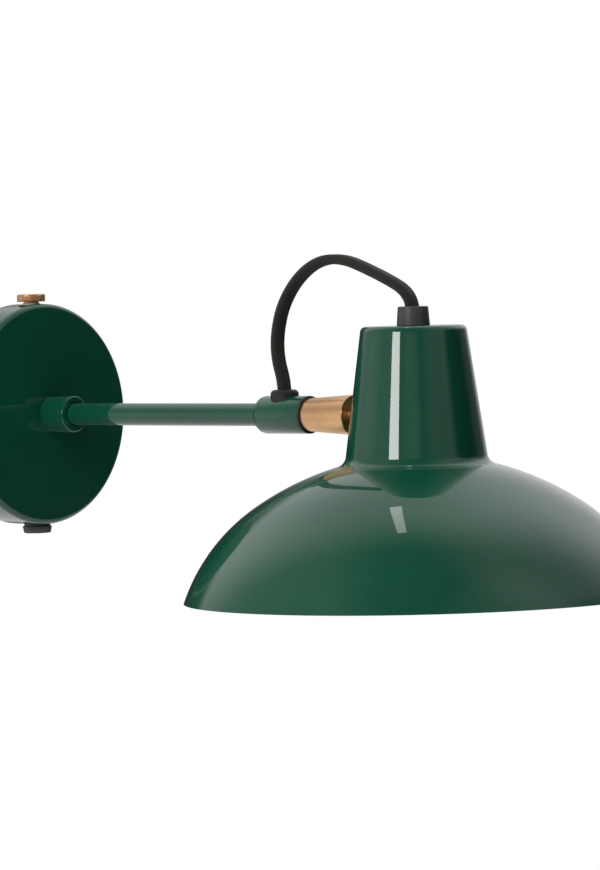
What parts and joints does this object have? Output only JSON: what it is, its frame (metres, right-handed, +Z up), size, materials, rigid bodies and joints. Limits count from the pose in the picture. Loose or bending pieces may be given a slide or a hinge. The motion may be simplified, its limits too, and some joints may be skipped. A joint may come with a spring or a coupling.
{
  "type": "wall lamp",
  "caption": "Wall lamp with a round wall cup, a straight tube arm and an enamelled dome shade that swivels on a brass joint.",
  "frame": {"origin": "where the arm's axis meets the wall", "axes": "+X out of the wall along the arm, +Z up"},
  "size_m": [0.3432, 0.202, 0.1475],
  "materials": {
    "green_enamel": "high-gloss dark green enamel",
    "turned_brass": "satin turned brass, lacquered",
    "black_plastic": "moulded black, satin",
    "black_rubber": "moulded black rubber",
    "textile_cord": "braided black textile over two cores",
    "zinc_steel": "zinc plated",
    "bakelite": "black moulded thermoset",
    "ceramic": "glazed white ceramic",
    "nickel_brass": "nickel plated brass",
    "white_nylon": "natural nylon"
  },
  "bodies": {
    "base": {"wall_bracket": "zinc_steel", "earth_clamp": "nickel_brass", "earth_screw": "nickel_brass", "terminal_block": "white_nylon", "terminal_screws": "nickel_brass", "wall_cup": "green_enamel", "thumbscrew_washer": "white_nylon", "switch_body": "black_plastic", "switch_tabs": "nickel_brass", "switch_ring_nut": "black_plastic", "switch_nut": "zinc_steel", "hub_washer": "zinc_steel", "hub_nut": "zinc_steel", "arm_hub": "green_enamel", "arm_tube": "green_enamel", "arm_sleeve": "green_enamel", "cord_grommet": "black_rubber", "friction_washer": "black_plastic", "stop_pin": "zinc_steel", "pivot_stud": "zinc_steel", "spring_washer": "zinc_steel", "pivot_nut": "zinc_steel", "cord_in_arm": "textile_cord", "cord_arch": "textile_cord"},
    "head": {"swivel_cone": "turned_brass", "saddle_washer": "zinc_steel", "shade": "green_enamel", "cord_grip": "black_plastic", "grip_screw": "zinc_steel", "threaded_nipple": "zinc_steel", "nipple_washer": "zinc_steel", "nipple_locknut": "zinc_steel", "lampholder_cap": "bakelite", "lampholder_skirt": "bakelite", "lampholder_insert": "ceramic", "centre_contact": "nickel_brass", "thread_shell": "nickel_brass", "holder_terminal_screws": "nickel_brass", "cord_in_shade": "textile_cord"},
    "knurled_screw": {"thumbscrew": "turned_brass"},
    "push_button": {"switch_button": "black_plastic"}
  },
  "joints": [
    {"name": "head_swivel", "type": "hinge", "parent": "base", "child": "head", "pos_m": [0.19, 0, 0], "axis": [1, 0, 0], "range_deg": [-90, 90], "deforming": ["cord_arch"]},
    {"name": "button_press", "type": "slide", "parent": "base", "child": "push_button", "axis": [0, 0, 1], "range_m": [0, 0.0008], "stiffness_N_per_m": 600, "springref_m": -0.001},
    {"name": "thumbscrew_turn", "type": "hinge", "parent": "base", "child": "knurled_screw", "pos_m": [0.0089, 0, 0.051], "axis": [0, 0, 1], "range_deg": [0, 360]}
  ]
}
